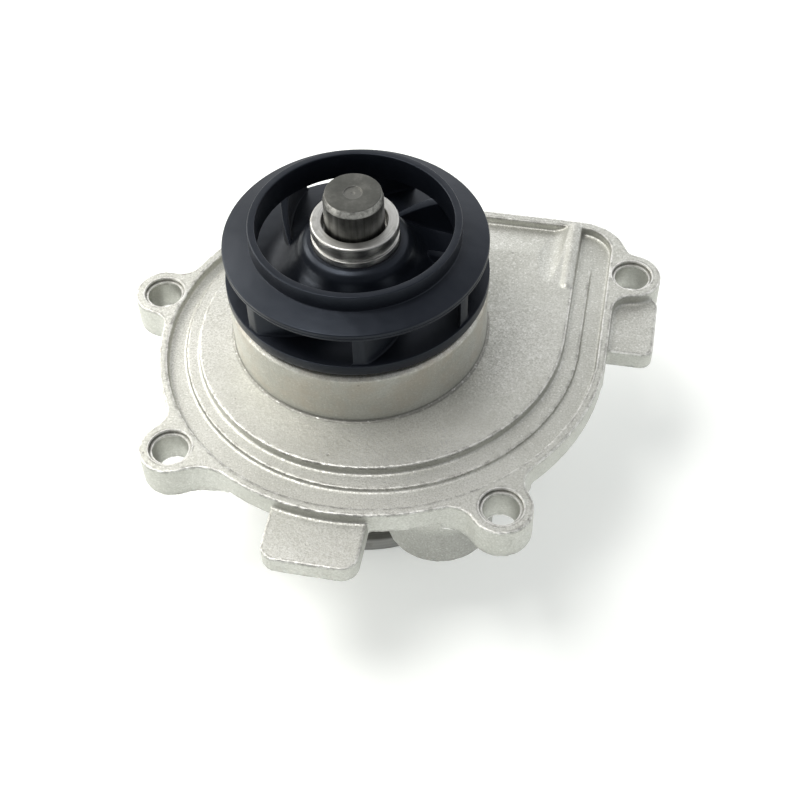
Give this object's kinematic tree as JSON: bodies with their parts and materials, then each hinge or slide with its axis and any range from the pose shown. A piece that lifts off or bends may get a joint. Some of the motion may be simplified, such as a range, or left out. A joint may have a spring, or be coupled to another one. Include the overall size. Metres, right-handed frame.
{
  "type": "water pump",
  "caption": "Belt-driven engine coolant pump: die-cast flange housing with bolt ears, closed plastic impeller on a steel shaft, sealed shaft bearing and pulley hub.",
  "frame": {"origin": "centre of the pulley hub's lower face, on the shaft axis", "axes": "+Z along the shaft towards the impeller, +X along the flange's straight back edge towards the outlet side, +Y towards that back edge"},
  "size_m": [0.1128, 0.1089, 0.08],
  "materials": {
    "cast_aluminium": "blasted die casting",
    "impeller_plastic": "satin moulded, blue-black",
    "shaft_steel": "ground and hardened",
    "turned_steel": "bright turned",
    "hub_steel": "pressed and plated",
    "bearing_steel": "ground",
    "stainless_sheet": "drawn sheet",
    "seal_rubber": "matt moulded",
    "carbon": "lapped carbon",
    "ceramic": "lapped ceramic",
    "cage_polymer": "moulded"
  },
  "bodies": {
    "housing_body": {"flange": "cast_aluminium", "boss": "cast_aluminium", "snout": "cast_aluminium", "ribs": "cast_aluminium", "leak_chamber": "cast_aluminium", "leak_chamber_cover": "stainless_sheet", "bearing_outer_race": "bearing_steel", "bearing_seal_upper": "seal_rubber", "bearing_seal_lower": "seal_rubber", "seal_case": "stainless_sheet", "seal_bellows": "seal_rubber", "seal_spring": "turned_steel", "seal_retainer": "stainless_sheet", "carbon_face": "carbon"},
    "rotor": {"shaft": "shaft_steel", "slinger": "seal_rubber", "mating_ring": "ceramic", "mating_ring_boot": "seal_rubber", "mating_ring_cup": "stainless_sheet", "impeller_insert": "turned_steel", "impeller_body": "impeller_plastic", "impeller_vanes": "impeller_plastic", "impeller_shroud": "impeller_plastic", "pulley_hub": "hub_steel"},
    "ball_row": {"ball_cage": "cage_polymer", "bearing_balls": "bearing_steel"},
    "roller_row": {"roller_cage": "cage_polymer", "bearing_rollers": "bearing_steel"}
  },
  "joints": [
    {"name": "shaft_spin", "type": "hinge", "parent": "housing_body", "child": "rotor", "pos_m": [0, 0, 0.03], "axis": [0, 0, 1], "continuous": true},
    {"name": "ball_row_spin", "type": "hinge", "parent": "housing_body", "child": "ball_row", "pos_m": [0, 0, 0.0355], "axis": [0, 0, 1], "continuous": true},
    {"name": "roller_row_spin", "type": "hinge", "parent": "housing_body", "child": "roller_row", "pos_m": [0, 0, 0.023], "axis": [0, 0, 1], "continuous": true}
  ],
  "couplings": [
    {"joint": "ball_row_spin", "follows": "shaft_spin", "ratio": 0.37},
    {"joint": "roller_row_spin", "follows": "shaft_spin", "ratio": 0.4025}
  ]
}
